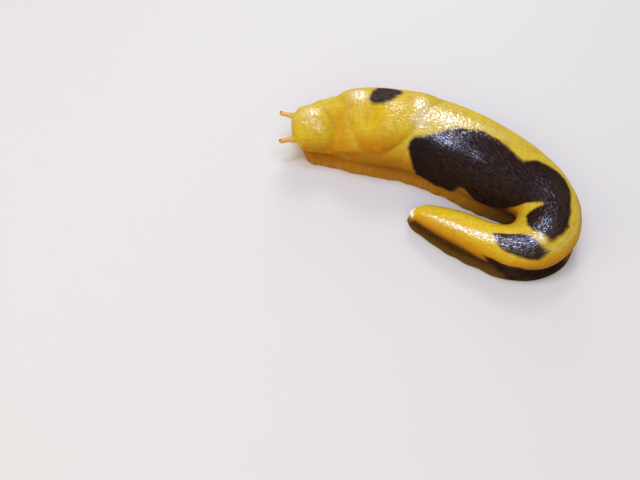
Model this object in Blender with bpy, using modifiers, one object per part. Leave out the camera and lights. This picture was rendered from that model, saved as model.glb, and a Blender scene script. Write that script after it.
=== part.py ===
"""A banana slug at life size, at rest in a U bend with its tail drawn up beside its left flank.

Sizes are in millimetres and become metres through MM. The slug lies between two edges drawn on the floor, the
right and the left edge of its foot, from the snout round to the tip of the tail. Rings of points stand square
across those edges, and each piece is a loft through its share of the rings. Thin cuts part one piece from the next.
"""

import math

import bmesh
import bpy
import numpy as np
from mathutils import Matrix, Vector

MM = 0.001
CUT = 0.3  # the gap that parts one piece from the next
RING_STEP = 2.0  # distance between two rings along the back
RING_CLEAR = 0.6  # no ring stands closer than this to a cut face
ARCH_POINTS = 33  # points of a ring over the back, from one groove to the other

# Each station: right edge of the foot x and y, left edge x and y, height of the back, height of the groove
# between flank and foot, how round the back is across (2 is an ellipse, less is a keel), and how far the groove
# is tucked in under the flank.
STATIONS = (
    (-44.6, 24.2, -44.4, 9.2, 13.8, 4.6, 2.1, 4.6),  # snout
    (-42.2, 24.8, -42.0, 8.4, 14.8, 3.9, 2.1, 4.6),
    (-39.4, 25.2, -39.2, 7.9, 15.2, 3.5, 2.05, 4.4),  # head
    (-36.0, 25.5, -35.5, 7.4, 15.3, 3.3, 2.0, 4.0),
    (-31.5, 26.6, -30.6, 6.2, 15.0, 3.3, 2.0, 3.4),  # neck
    (-26.5, 29.0, -25.6, 4.4, 16.2, 3.5, 2.0, 2.8),
    (-17.8, 30.6, -17.6, 2.3, 17.6, 3.6, 2.0, 2.4),  # mantle
    (-3.4, 28.9, -8.2, 0.0, 18.2, 3.6, 2.0, 2.4),
    (7.4, 24.9, -1.6, -3.0, 18.4, 3.6, 2.0, 2.4),
    (18.4, 19.1, 5.0, -6.6, 18.2, 3.6, 1.95, 2.4),  # back
    (27.8, 11.4, 11.4, -11.2, 17.6, 3.6, 1.9, 2.4),
    (35.8, 2.7, 17.0, -14.3, 17.0, 3.5, 1.85, 2.4),
    (41.4, -6.8, 21.2, -16.3, 16.2, 3.4, 1.8, 2.4),
    (43.5, -17.8, 23.4, -17.5, 15.2, 3.3, 1.75, 2.4),  # bend
    (39.8, -29.2, 23.6, -18.5, 14.2, 3.2, 1.7, 2.4),
    (30.6, -36.3, 23.0, -19.5, 13.2, 3.1, 1.65, 2.4),
    (20.2, -36.8, 21.6, -20.5, 12.2, 3.0, 1.6, 2.4),  # tail
    (11.1, -32.6, 17.0, -19.8, 11.0, 2.8, 1.6, 2.3),
    (3.0, -27.4, 9.6, -16.2, 9.6, 2.5, 1.6, 2.2),
    (-2.8, -22.4, 3.0, -13.6, 8.4, 2.2, 1.65, 2.0),
    (-6.6, -18.6, -2.8, -12.6, 7.2, 2.0, 1.8, 1.8),
    (-8.8, -16.4, -6.8, -13.2, 6.4, 1.8, 2.0, 1.6),  # tip of the tail
)

FULL_HALF_WIDTH = 8.0  # where the foot's half width is less, flank and groove are drawn in less too
FLANK_INSET = 0.4  # the foot reaches this far past the flank
WAIST = 0.40  # the flank is widest at this share of its height
SHOULDER = 0.70  # share of the arch above the widest line
ASIDE = 0.01  # share of the arch to each side that gives the back's slope

# Distances along the back at which the body is cut across, from the snout
HEAD_END = 12.0
NECK_END = 18.0
MANTLE_REST_END = 45.0
BACK_MIDDLE = 60.0
BACK_END = 76.0
BEND_END = 108.0
TAIL_MIDDLE = 120.0
TIP_START = 131.0

SNOUT_BLUNT = 4.2  # length over which the snout is rounded
SNOUT_ROWS = (0.15, 0.45, 0.9, 1.5, 2.2, 3.1)  # rings of the rounded snout, back from its front
TIP_BLUNT = 3.0
TIP_ROWS = (2.5, 1.8, 1.2, 0.7, 0.35, 0.1)  # rings of the rounded tail tip, forward from its end
POINT_SIZE = 0.1  # share of its full size that the last ring keeps

FOOT_START = 3.4
FOOT_ROUNDING = 5.0  # length over which the foot's front and rear ends are rounded
FOOT_FRONT_ROWS = (0.0, 0.3, 0.9, 1.8)
FOOT_REAR_ROWS = (2.0, 1.2, 0.5, 0.12)
FOOT_END_HEIGHT = 0.2  # share of its height that the foot keeps at its ends
FOOT_CUTS = (38.0, 76.0, 108.0)
# The foot's skirt from the sole up: share of the tuck that it lies in from the rim, and share of its height
FOOT_SKIRT = ((0.50, 0.0), (0.15, 0.03), (0.0, 0.14), (0.06, 0.32), (0.35, 0.60), (0.7, 0.85), (1.0, 1.0))
BODY_TIP = 1.0  # the body stops this far short of the foot's rear end

MANTLE_FRONT = 16.6  # on the middle of the back
MANTLE_REAR = 42.8
MANTLE_FRONT_CURVE = 1.8  # how much further back the front edge lies at the sides
MANTLE_SKEW = 3.2  # the rear edge runs back to the right by this much on each side
MANTLE_REAR_CURVE = 1.5  # how much further forward the rear edge's corners lie
MANTLE_REACH = 0.65  # share of the arch that the mantle covers at its front
MANTLE_DRAWN_UP = (0.16, 0.08)  # how much less it covers at its rear, on the left and on the right
MANTLE_THICKNESS = 1.3
MANTLE_EDGE = 0.6
MANTLE_SQUARENESS = 4.5  # 2 would make the outline an ellipse
MANTLE_CROWDING = 0.85  # less than 1 brings the loops of points closer together towards the edge
MANTLE_FULLNESS = 6  # the higher, the nearer to its edge the mantle keeps its thickness
MANTLE_LOOPS = 11
MANTLE_SPOKES = 56
# Swellings and dents of the mantle: distance along, share of the arch, height, spread along, spread across
MANTLE_SWELLS = (
    (21.5, -0.10, 0.9, 4.5, 0.30),
    (26.5, 0.08, -1.0, 2.8, 0.12),
    (31.0, 0.34, 0.9, 6.0, 0.20),
    (38.0, -0.10, 0.4, 6.0, 0.30),
)
PORE_ALONG = 33.0  # breathing pore near the mantle's right edge
PORE_SHARE = -0.50
PORE_RADII = (1.9, 1.2, 2.4)

# Upper feelers, drawn in: root on the front of the head beside the middle plane, and the way they point
FEELER_ROOT = (1.1, 5.0, 8.4)  # distance back from the snout, sideways, above the floor
FEELER_AIM = (-1.0, 0.28, 0.06)
# Radius at each distance along a feeler, from its tip down to its root inside the head
FEELER_PROFILE = (
    (5.25, 0.0),
    (5.15, 0.5),
    (4.9, 0.72),
    (4.3, 0.80),
    (3.6, 0.68),
    (2.4, 0.64),
    (0.9, 0.76),
    (0.1, 1.0),
    (-0.9, 1.0),
    (-1.5, 0.75),
    (-1.5, 0.0),
)
EYE_CENTRE = 5.1  # along the feeler
EYE_RADIUS = 0.42
EYE_GAP = 0.2
LOWER_FEELER_ROOT = (1.5, 3.2, 6.0)
LOWER_FEELER_AIM = (-1.0, 0.35, -0.30)
LOWER_FEELER_PROFILE = (
    (2.45, 0.0),
    (2.4, 0.2),
    (2.2, 0.40),
    (1.7, 0.52),
    (0.8, 0.56),
    (0.2, 0.72),
    (-0.8, 0.72),
    (-1.3, 0.5),
    (-1.3, 0.0),
)
FEELER_SIDES = 14
BALL_SIDES = 16
BALL_RINGS = 10

# Mouth, low on the front of the head: two lips beside an upright slit
LIP_CENTRE = (1.5, 1.15, 5.2)
LIP_RADII = (1.5, 1.1, 1.5)
MOUTH_CENTRE = (0.9, 0.0, 4.7)
MOUTH_SLIT = (2.4, 0.5, 2.2)  # deep, wide and high

SLIME_RADII = (0.9, 1.2, 0.95)  # plug of mucus over the pore at the tip of the tail
SLIME_PLACE = (-0.3, 4.6)  # behind the end of the body, and above the floor

YELLOW = (0.80, 0.56, 0.06)
MANTLE_YELLOW = (0.84, 0.61, 0.09)
HEAD_YELLOW = (0.76, 0.56, 0.10)
BLOTCH = (0.045, 0.028, 0.022)
OLIVE = (0.36, 0.25, 0.06)
FEELER_ORANGE = (0.82, 0.50, 0.12)
EYE_BLACK = (0.01, 0.01, 0.012)
SLIME = (0.86, 0.78, 0.62)


def smooth_curve(knots, values, at):
    """Values on a smooth curve through the knots, by cubic Hermite pieces."""
    knots = np.asarray(knots, float)
    values = np.asarray(values, float).reshape(len(knots), -1)
    at = np.atleast_1d(np.asarray(at, float))
    span = np.diff(knots)[:, None]
    rise = np.diff(values, axis=0) / span
    slope = np.empty_like(values)
    slope[0] = rise[0]
    slope[-1] = rise[-1]
    slope[1:-1] = (rise[:-1] * span[1:] + rise[1:] * span[:-1]) / (span[1:] + span[:-1])
    piece = np.clip(np.searchsorted(knots, at, "right") - 1, 0, len(knots) - 2)
    t = ((at - knots[piece]) / span[piece, 0])[:, None]
    return (
        (1 + 2 * t) * (1 - t) ** 2 * values[piece]
        + t * (1 - t) ** 2 * span[piece] * slope[piece]
        + t * t * (3 - 2 * t) * values[piece + 1]
        + t * t * (t - 1) * span[piece] * slope[piece + 1]
    )


STATION_TABLE = np.array(STATIONS)
MIDLINE = (STATION_TABLE[:, 0:2] + STATION_TABLE[:, 2:4]) / 2
ALONG = np.concatenate([[0.0], np.cumsum(np.linalg.norm(np.diff(MIDLINE, axis=0), axis=1))])
BODY_LENGTH = float(ALONG[-1])
BODY_END = BODY_LENGTH - BODY_TIP


def station(along):
    """Right edge, left edge, top, groove height, roundness and tuck at distances along the back."""
    row = smooth_curve(ALONG, STATION_TABLE, along)
    return row[:, 0:2], row[:, 2:4], *row[:, 4:].T


def ring_frame(along):
    """Middle of the foot, unit vector to the animal's left, and half width of the foot."""
    right, left, *_ = station(along)
    across = left - right
    width = np.linalg.norm(across, axis=1)
    return (right + left) / 2, across / width[:, None], width / 2


def place(middle, across, sideways, height):
    """Points of rings in the plan's frame, from their places across the body and above the floor."""
    flat = middle[:, None, :] + across[:, None, :] * sideways[:, :, None]
    return np.concatenate([flat, height[:, :, None]], axis=2)


def arch(along, shares):
    """Rings of points over the back. A share runs from -1, the right groove, over the ridge to 1, the left one."""
    along = np.atleast_1d(along)
    middle, across, half = ring_frame(along)
    _, _, top, low, roundness, tuck = station(along)
    small = np.minimum(1.0, half / FULL_HALF_WIDTH)
    flank = half - FLANK_INSET * small
    groove = half - tuck * small
    low = low + CUT
    waist = low + (top - low) * WAIST
    share = np.abs(shares)
    upper = np.minimum(share / SHOULDER, 1.0) * math.pi / 2
    lower = np.clip((share - SHOULDER) / (1 - SHOULDER), 0.0, 1.0) * math.pi / 2
    power = (2 / roundness)[:, None]
    over = share <= SHOULDER
    side_up = flank[:, None] * np.sin(upper) ** power
    high_up = waist[:, None] + (top - waist)[:, None] * np.maximum(np.cos(upper), 0.0) ** power
    side_low = groove[:, None] + (flank - groove)[:, None] * np.cos(lower)
    high_low = waist[:, None] - (waist - low)[:, None] * np.sin(lower)
    sideways = np.where(over, side_up, side_low) * np.sign(shares)
    height = np.where(over, high_up, high_low)
    return place(middle, across, sideways, height)


def distances(start, end):
    """Ring distances from start to end, on the common step, with the cut faces half a gap inside."""
    inner = np.arange(math.ceil(start / RING_STEP), math.floor(end / RING_STEP) + 1) * RING_STEP
    inner = inner[(inner > start + RING_CLEAR) & (inner < end - RING_CLEAR)]
    return np.concatenate([[start + CUT / 2], inner, [end - CUT / 2]])


def material(name, colour, roughness):
    """A plain surface of one colour."""
    made = bpy.data.materials.new(name)
    made.use_nodes = True
    surface = made.node_tree.nodes["Principled BSDF"]
    surface.inputs["Base Color"].default_value = (*colour, 1.0)
    surface.inputs["Roughness"].default_value = roughness
    surface.inputs["Metallic"].default_value = 0.0
    made.diffuse_color = (*colour, 1.0)
    return made


def collection(name, hidden=False):
    made = bpy.data.collections.new(name)
    made.hide_render = hidden
    bpy.context.scene.collection.children.link(made)
    return made


def new_object(name, mesh, group, surface=None, parent=None, where=None):
    """An object at a place under its parent, shaded smooth but for sharp edges."""
    made = bpy.data.objects.new(name, mesh)
    group.objects.link(made)
    made.parent = parent
    if where:
        made.matrix_local = where
    if surface:
        mesh.materials.append(surface)
    if mesh.polygons:
        mesh.shade_smooth()
        mesh.set_sharp_from_angle(angle=math.radians(40))
    return made


def mesh_of(name, bm):
    bmesh.ops.recalc_face_normals(bm, faces=bm.faces)
    mesh = bpy.data.meshes.new(name)
    bm.to_mesh(mesh)
    bm.free()
    return mesh


def loft(name, rings):
    """A closed mesh through rings with the same number of points, with flat ends."""
    bm = bmesh.new()
    loops = [[bm.verts.new(point * MM) for point in ring] for ring in rings]
    count = len(loops[0])
    for here, there in zip(loops, loops[1:]):
        for k in range(count):
            after = (k + 1) % count
            bm.faces.new((here[k], here[after], there[after]))
            bm.faces.new((here[k], there[after], there[k]))
    bm.faces.new(loops[0][::-1])
    bm.faces.new(loops[-1])
    return mesh_of(name, bm)


def rounded_end(rings, from_end, blunt):
    """Rings drawn in towards their middles over the last stretch, to a blunt round end."""
    left = np.clip(from_end / blunt, 0.0, 1.0)
    size = np.sqrt(np.maximum(1 - (1 - left) ** 2, POINT_SIZE**2))
    middle = rings.mean(axis=1, keepdims=True)
    return middle + (rings - middle) * size[:, None, None]


def body_rings(rows):
    """Rings of the body above the foot, rounded off at the snout and at the tip of the tail."""
    rings = arch(rows, np.linspace(-1, 1, ARCH_POINTS))
    rings = rounded_end(rings, rows, SNOUT_BLUNT)
    return rounded_end(rings, BODY_END - rows, TIP_BLUNT)


def body_rows(start, end):
    """Ring distances of one length of the body, closer together where an end is rounded."""
    rows = distances(start, end)
    if start == 0:
        rows = np.array([start, *SNOUT_ROWS, *rows[rows > max(SNOUT_ROWS) + RING_CLEAR]])
    if end == BODY_END:
        rows = np.array([*rows[rows < end - max(TIP_ROWS) - RING_CLEAR], *(end - np.array(TIP_ROWS)), end])
    return rows


def foot_rings(start, end):
    """Rings of the foot: a flat sole, a rounded rim and a skirt that slopes in to the groove."""
    rows = distances(start, end)
    if start == FOOT_START:
        first = start + np.array(FOOT_FRONT_ROWS)
        rows = np.concatenate([first, rows[rows > first.max() + RING_CLEAR]])
    if end == BODY_LENGTH:
        last = end - np.array(FOOT_REAR_ROWS)
        rows = np.concatenate([rows[rows < last.min() - RING_CLEAR], last])
    middle, across, half = ring_frame(rows)
    _, _, _, low, _, tuck = station(rows)
    from_end = np.minimum(rows - FOOT_START, BODY_LENGTH - rows)
    rounding = np.sqrt(np.clip(1 - (1 - np.clip(from_end / FOOT_ROUNDING, 0, 1)) ** 2, 0.03, 1))
    half = half * rounding
    low = low * (FOOT_END_HEIGHT + (1 - FOOT_END_HEIGHT) * rounding)
    small = np.minimum(1.0, half / FULL_HALF_WIDTH)
    inset, share = np.array(FOOT_SKIRT).T
    side = half[:, None] - inset[None, :] * (tuck * small)[:, None]
    high = low[:, None] * share[None, :]
    sideways = np.concatenate([-side, side[:, ::-1]], axis=1)
    height = np.concatenate([high, high[:, ::-1]], axis=1)
    return place(middle, across, sideways, height)


def mantle_swell(along, shares):
    """Height added to the mantle by its swellings and dents."""
    added = np.zeros_like(along)
    for centre, share, height, spread, width in MANTLE_SWELLS:
        added += height * np.exp(-(((along - centre) / spread) ** 2) - ((shares - share) / width) ** 2)
    return added


def mantle_layout():
    """Distance along, share of the arch and fullness of the mantle's points: its middle, then loop after loop."""
    turn = np.arange(MANTLE_SPOKES) / MANTLE_SPOKES * 2 * math.pi
    out = np.linspace(0, 1, MANTLE_LOOPS + 1)[1:, None] ** MANTLE_CROWDING
    power = 2 / MANTLE_SQUARENESS
    ahead = np.concatenate([[0.0], (out * np.sign(np.cos(turn)) * np.abs(np.cos(turn)) ** power).ravel()])
    across = np.concatenate([[0.0], (out * np.sign(np.sin(turn)) * np.abs(np.sin(turn)) ** power).ravel()])
    fullness = np.concatenate([[1.0], np.repeat(np.sqrt(1 - out**MANTLE_FULLNESS), MANTLE_SPOKES)])
    down = (1 - ahead) / 2
    front = MANTLE_FRONT + MANTLE_FRONT_CURVE * across**2
    rear = MANTLE_REAR - MANTLE_SKEW * across - MANTLE_REAR_CURVE * across**4
    reach = MANTLE_REACH - np.where(across > 0, *MANTLE_DRAWN_UP) * down**2
    return front + (rear - front) * down, across * reach, fullness


def mantle_point(along, share, lift):
    """A point at a height above the back, on the line square to it."""
    left, here, right = arch(along, share + np.array([-ASIDE, 0.0, ASIDE]))[0]
    _, across, _ = ring_frame(np.array([float(along)]))
    sideways = float((right - left)[:2] @ across[0])
    climb = float((right - left)[2])
    outward = np.array([*(-climb * across[0]), sideways]) / math.hypot(sideways, climb)
    return here + outward * lift


def mantle_sheet(name):
    """The underside of the mantle, an open sheet that lies just above the back."""
    along, shares, _ = mantle_layout()
    bm = bmesh.new()
    centre, *points = [bm.verts.new(mantle_point(s, share, CUT) * MM) for s, share in zip(along, shares)]
    loops = [points[k : k + MANTLE_SPOKES] for k in range(0, len(points), MANTLE_SPOKES)]
    for k in range(MANTLE_SPOKES):
        after = (k + 1) % MANTLE_SPOKES
        bm.faces.new((centre, loops[0][k], loops[0][after]))
        for inner, outer in zip(loops, loops[1:]):
            bm.faces.new((inner[k], outer[k], outer[after]))
            bm.faces.new((inner[k], outer[after], inner[after]))
    mesh = mesh_of(name, bm)
    if mesh.polygons[0].normal.z < 0:
        mesh.flip_normals()
    return mesh


def thicken_mantle(mantle):
    """Solidify the sheet upwards, thin along its edge and as swollen elsewhere as the mantle is."""
    along, shares, fullness = mantle_layout()
    thickness = MANTLE_EDGE + (MANTLE_THICKNESS - MANTLE_EDGE + mantle_swell(along, shares)) * fullness
    most = float(thickness.max())
    group = mantle.vertex_groups.new(name="thickness")
    for index, here in enumerate(thickness):
        group.add([index], float(here) / most, "REPLACE")
    solidify = mantle.modifiers.new("thickness", "SOLIDIFY")
    solidify.thickness = most * MM
    solidify.offset = 1.0
    solidify.vertex_group = group.name


def local_frame(along):
    """Unit vectors towards the tail, to the animal's left and up."""
    _, across, _ = ring_frame(np.array([float(along)]))
    return np.array([[-across[0, 1], across[0, 0], 0.0], [across[0, 0], across[0, 1], 0.0], [0.0, 0.0, 1.0]])


def spot(along, sideways, height):
    """A point from its distance behind the snout, to the animal's left and above the floor."""
    middle, across, _ = ring_frame(np.array([float(along)]))
    return np.array([*(middle[0] + across[0] * sideways), height])


def placement(centre, frame):
    """A matrix that puts an object's own axes along the rows of a frame, at a point."""
    turn = Matrix([Vector(axis).normalized() for axis in frame]).transposed()
    return Matrix.Translation(Vector(centre) * MM) @ turn.to_4x4()


def ellipsoid(name, radii, grow=0.0):
    """A closed ellipsoid about its own middle."""
    bm = bmesh.new()
    bmesh.ops.create_uvsphere(bm, u_segments=BALL_SIDES, v_segments=BALL_RINGS, radius=1.0)
    bmesh.ops.scale(bm, vec=[(radius + grow) * MM for radius in radii], verts=bm.verts)
    return mesh_of(name, bm)


def turned_profile(name, profile, grow=0.0):
    """The half outline of a turned form, with its length along Z, as edges for a Screw modifier."""
    bm = bmesh.new()
    low = min(far for far, _ in profile)
    line = []
    for far, radius in profile:
        end = grow if far == low else 0.0
        line.append(bm.verts.new(((radius + (grow if radius else 0.0)) * MM, 0.0, (far - end) * MM)))
    for upper, lower in zip(line, line[1:]):
        bm.edges.new((upper, lower))
    mesh = bpy.data.meshes.new(name)
    bm.to_mesh(mesh)
    bm.free()
    return mesh


def turn(piece):
    """Spin a profile into a closed form."""
    screw = piece.modifiers.new("turned", "SCREW")
    screw.axis = "Z"
    screw.steps = FEELER_SIDES
    screw.render_steps = FEELER_SIDES
    screw.use_merge_vertices = True
    screw.merge_threshold = 0.00001
    screw.use_smooth_shade = True


def feeler_frame(root, aim, side):
    """Root of a feeler on one side, 1 for the left and -1 for the right, and axes with the third along the feeler."""
    frame = local_frame(root[0])
    line = Vector(np.array([aim[0], aim[1] * side, aim[2]]) @ frame).normalized()
    across = line.cross(Vector((0.0, 0.0, 1.0))).normalized()
    return Vector(spot(root[0], root[1] * side, root[2])), (across, line.cross(across), line)


def use(target, tool, operation):
    """Cut a closed tool out of an object, or join it on."""
    step = target.modifiers.new(tool.name, "BOOLEAN")
    step.operation = operation
    step.solver = "EXACT"
    step.object = tool


def centre_footprint(group, origin):
    """Bring the middle of the whole slug's outline on the floor to the world's origin."""
    shown = bpy.context.evaluated_depsgraph_get()
    corners = [
        piece.evaluated_get(shown).matrix_world @ vert.co
        for piece in group.objects
        if piece.type == "MESH"
        for vert in piece.evaluated_get(shown).data.vertices
    ]
    for k in (0, 1):
        reach = [corner[k] for corner in corners]
        origin.location[k] -= (min(reach) + max(reach)) / 2


def clear_scene():
    for old in list(bpy.data.objects):
        bpy.data.objects.remove(old, do_unlink=True)


def main():
    clear_scene()
    slug = collection("banana_slug")
    tools = collection("cutters", hidden=True)
    origin = bpy.data.objects.new("slug_origin", None)
    slug.objects.link(origin)
    yellow = material("yellow_skin", YELLOW, 0.25)
    blotch = material("blotched_skin", BLOTCH, 0.25)
    olive = material("foot_skin", OLIVE, 0.3)
    mantle_skin = material("mantle_skin", MANTLE_YELLOW, 0.25)
    head_skin = material("head_skin", HEAD_YELLOW, 0.25)
    feeler_skin = material("feeler_skin", FEELER_ORANGE, 0.25)
    eye_black = material("eye_black", EYE_BLACK, 0.1)
    slime = material("dried_slime", SLIME, 0.4)

    def add(mesh, surface, where=None):
        return new_object(mesh.name, mesh, slug, surface, origin, where)

    def tool(mesh, where):
        made = new_object(mesh.name, mesh, tools, None, origin, where)
        made.hide_render = True
        made.display_type = "WIRE"
        return made

    def feeler(name, profile, root, aim, side, head):
        """A feeler in its socket in the head; gives back the feeler, and the point and axes of its root."""
        point, frame = feeler_frame(root, aim, side)
        where = placement(point, frame)
        piece = add(turned_profile(name, profile), feeler_skin, where)
        turn(piece)
        socket = tool(turned_profile(name + "_socket", profile, CUT), where)
        turn(socket)
        use(head, socket, "DIFFERENCE")
        return piece, point, frame

    head = add(loft("head", body_rings(body_rows(0, HEAD_END))), head_skin)
    body = {}
    for name, start, end, surface in (
        ("neck", HEAD_END, NECK_END, head_skin),
        ("trunk_front", NECK_END, MANTLE_REST_END, yellow),
        ("trunk_middle", MANTLE_REST_END, BACK_MIDDLE, blotch),
        ("trunk_rear", BACK_MIDDLE, BACK_END, blotch),
        ("tail_bend", BACK_END, BEND_END, yellow),
        ("tail_base", BEND_END, TAIL_MIDDLE, yellow),
        ("tail_middle", TAIL_MIDDLE, TIP_START, yellow),
        ("tail_tip", TIP_START, BODY_END, yellow),
    ):
        body[name] = add(loft(name, body_rings(body_rows(start, end))), surface)
    ends = (FOOT_START, *FOOT_CUTS, BODY_LENGTH)
    for word, start, end in zip(("front", "middle", "bend", "tail"), ends, ends[1:]):
        add(loft("foot_" + word, foot_rings(start, end)), olive)
    mantle = add(mantle_sheet("mantle"), mantle_skin)
    thicken_mantle(mantle)

    # Breathing pore, through the mantle and into the flank under it
    centre = mantle_point(PORE_ALONG, PORE_SHARE, CUT + MANTLE_THICKNESS / 2)
    outward = mantle_point(PORE_ALONG, PORE_SHARE, 1.0) - mantle_point(PORE_ALONG, PORE_SHARE, 0.0)
    back = local_frame(PORE_ALONG)[0]
    pore = tool(ellipsoid("pore_cut", PORE_RADII), placement(centre, (back, np.cross(outward, back), outward)))
    use(mantle, pore, "DIFFERENCE")
    use(body["trunk_front"], pore, "DIFFERENCE")

    # Lips and the line of the mouth
    frame = local_frame(LIP_CENTRE[0])
    for word, side in (("left", 1), ("right", -1)):
        where = placement(spot(LIP_CENTRE[0], LIP_CENTRE[1] * side, LIP_CENTRE[2]), frame)
        use(head, tool(ellipsoid("lip_" + word, LIP_RADII), where), "UNION")
    slit = tool(ellipsoid("mouth_slit", np.array(MOUTH_SLIT) / 2), placement(spot(*MOUTH_CENTRE), frame))
    use(head, slit, "DIFFERENCE")

    for word, side in (("left", 1), ("right", -1)):
        upper, point, frame = feeler("upper_feeler_" + word, FEELER_PROFILE, FEELER_ROOT, FEELER_AIM, side, head)
        where = placement(point + frame[2] * EYE_CENTRE, frame)
        add(ellipsoid("eye_" + word, (EYE_RADIUS,) * 3), eye_black, where)
        use(upper, tool(ellipsoid("eye_cup_" + word, (EYE_RADIUS,) * 3, EYE_GAP), where), "DIFFERENCE")
        feeler("lower_feeler_" + word, LOWER_FEELER_PROFILE, LOWER_FEELER_ROOT, LOWER_FEELER_AIM, side, head)

    # Plug of mucus in the pore at the tip of the tail
    where = placement(spot(BODY_END + SLIME_PLACE[0], 0.0, SLIME_PLACE[1]), local_frame(BODY_END))
    add(ellipsoid("slime_plug", SLIME_RADII), slime, where)
    use(body["tail_tip"], tool(ellipsoid("plug_cup", SLIME_RADII, CUT), where), "DIFFERENCE")

    centre_footprint(slug, origin)


main()
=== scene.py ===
"""A banana slug at life size, at rest with its tail drawn up beside its left flank, on a plain pale stage.

One wet skin runs from the lips to the tip of the tail and stands for all of the fleshy solids. It is laid
over the same two edges of the foot as they are, and sizes are in millimetres in the plan of the foot. Each
point of the skin has a distance along the back, from the snout, and a share of the arch, from -1 in the
groove on the right over the ridge at 0 to 1 in the groove on the left.
"""

import math

import bpy
import numpy as np
from mathutils import Matrix, Vector


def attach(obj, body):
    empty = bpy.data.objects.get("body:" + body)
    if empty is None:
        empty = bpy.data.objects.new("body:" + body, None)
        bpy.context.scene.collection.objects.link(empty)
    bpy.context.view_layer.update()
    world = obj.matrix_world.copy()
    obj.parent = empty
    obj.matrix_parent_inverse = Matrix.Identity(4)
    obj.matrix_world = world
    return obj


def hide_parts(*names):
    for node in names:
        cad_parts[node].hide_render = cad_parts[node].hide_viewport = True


bl_info = {
    "name": "Banana slug",
    "version": (1, 0, 0),
    "blender": (4, 5, 0),
    "location": "3D View > Sidebar > Slug",
    "description": "Builds a banana slug with one wet skin, its eyes, a plug of slime and a plain stage",
    "category": "Object",
}

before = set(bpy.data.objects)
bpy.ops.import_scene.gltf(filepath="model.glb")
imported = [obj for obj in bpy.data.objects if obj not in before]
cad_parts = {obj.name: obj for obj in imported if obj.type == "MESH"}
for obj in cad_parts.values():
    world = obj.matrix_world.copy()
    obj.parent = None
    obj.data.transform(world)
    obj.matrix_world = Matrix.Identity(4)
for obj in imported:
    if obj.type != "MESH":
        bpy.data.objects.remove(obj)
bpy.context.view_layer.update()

MM = 0.001
PLAN_MIDDLE = (-2.654, -3.053)  # where the middle of the slug's footprint lies in the plan

# Each station: right edge of the foot x and y, left edge x and y, height of the back, height of the groove
# between flank and foot, how round the back is across, and how far the groove is tucked in
STATIONS = (
    (-44.6, 24.2, -44.4, 9.2, 13.8, 4.6, 2.1, 4.6),  # snout
    (-42.2, 24.8, -42.0, 8.4, 14.8, 3.9, 2.1, 4.6),
    (-39.4, 25.2, -39.2, 7.9, 15.2, 3.5, 2.05, 4.4),  # head
    (-36.0, 25.5, -35.5, 7.4, 15.3, 3.3, 2.0, 4.0),
    (-31.5, 26.6, -30.6, 6.2, 15.0, 3.3, 2.0, 3.4),  # neck
    (-26.5, 29.0, -25.6, 4.4, 16.2, 3.5, 2.0, 2.8),
    (-17.8, 30.6, -17.6, 2.3, 17.6, 3.6, 2.0, 2.4),  # mantle
    (-3.4, 28.9, -8.2, 0.0, 18.2, 3.6, 2.0, 2.4),
    (7.4, 24.9, -1.6, -3.0, 18.4, 3.6, 2.0, 2.4),
    (18.4, 19.1, 5.0, -6.6, 18.2, 3.6, 1.95, 2.4),  # back
    (27.8, 11.4, 11.4, -11.2, 17.6, 3.6, 1.9, 2.4),
    (35.8, 2.7, 17.0, -14.3, 17.0, 3.5, 1.85, 2.4),
    (41.4, -6.8, 21.2, -16.3, 16.2, 3.4, 1.8, 2.4),
    (43.5, -17.8, 23.4, -17.5, 15.2, 3.3, 1.75, 2.4),  # bend
    (39.8, -29.2, 23.6, -18.5, 14.2, 3.2, 1.7, 2.4),
    (30.6, -36.3, 23.0, -19.5, 13.2, 3.1, 1.65, 2.4),
    (20.2, -36.8, 21.6, -20.5, 12.2, 3.0, 1.6, 2.4),  # tail
    (11.1, -32.6, 17.0, -19.8, 11.0, 2.8, 1.6, 2.3),
    (3.0, -27.4, 9.6, -16.2, 9.6, 2.5, 1.6, 2.2),
    (-2.8, -22.4, 3.0, -13.6, 8.4, 2.2, 1.65, 2.0),
    (-6.6, -18.6, -2.8, -12.6, 7.2, 2.0, 1.8, 1.8),
    (-8.8, -16.4, -6.8, -13.2, 6.4, 1.8, 2.0, 1.6),  # tip of the tail
)
FULL_HALF_WIDTH = 8.0  # where the foot is narrower, its insets shrink with it
FLANK_INSET = 0.4
GROOVE_LIFT = 0.3
WAIST = 0.40  # the flank's widest point, as a share of the height from groove to ridge
SHOULDER = 0.70  # and as a share of the arch
SNOUT_BLUNT = 4.2  # lengths over which the body's two ends round off
TIP_BLUNT = 3.0
BODY_TIP = 1.0  # how far the foot reaches past the body
FOOT_START = 3.0
FOOT_FRONT = 2.2  # length over which the foot's front comes down to the floor
FOOT_ROUNDING = 5.0
# Up the foot's edge from sole to groove: shares of the tuck and of the groove's height
FOOT_SKIRT = ((0.50, 0.0), (0.15, 0.03), (0.0, 0.14), (0.06, 0.32), (0.35, 0.60), (0.7, 0.85), (1.0, 1.0))

# Rows of the skin along the body and columns round it
SNOUT_ROWS = 22
BODY_ROWS = 334
TIP_ROWS = 14
SOLE_COLUMNS = 7
SKIRT_COLUMNS = 12
ARCH_COLUMNS = 200
MERGE_REACH = 0.000004  # in metres, as is the next
SLIVER = 0.000001

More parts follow.
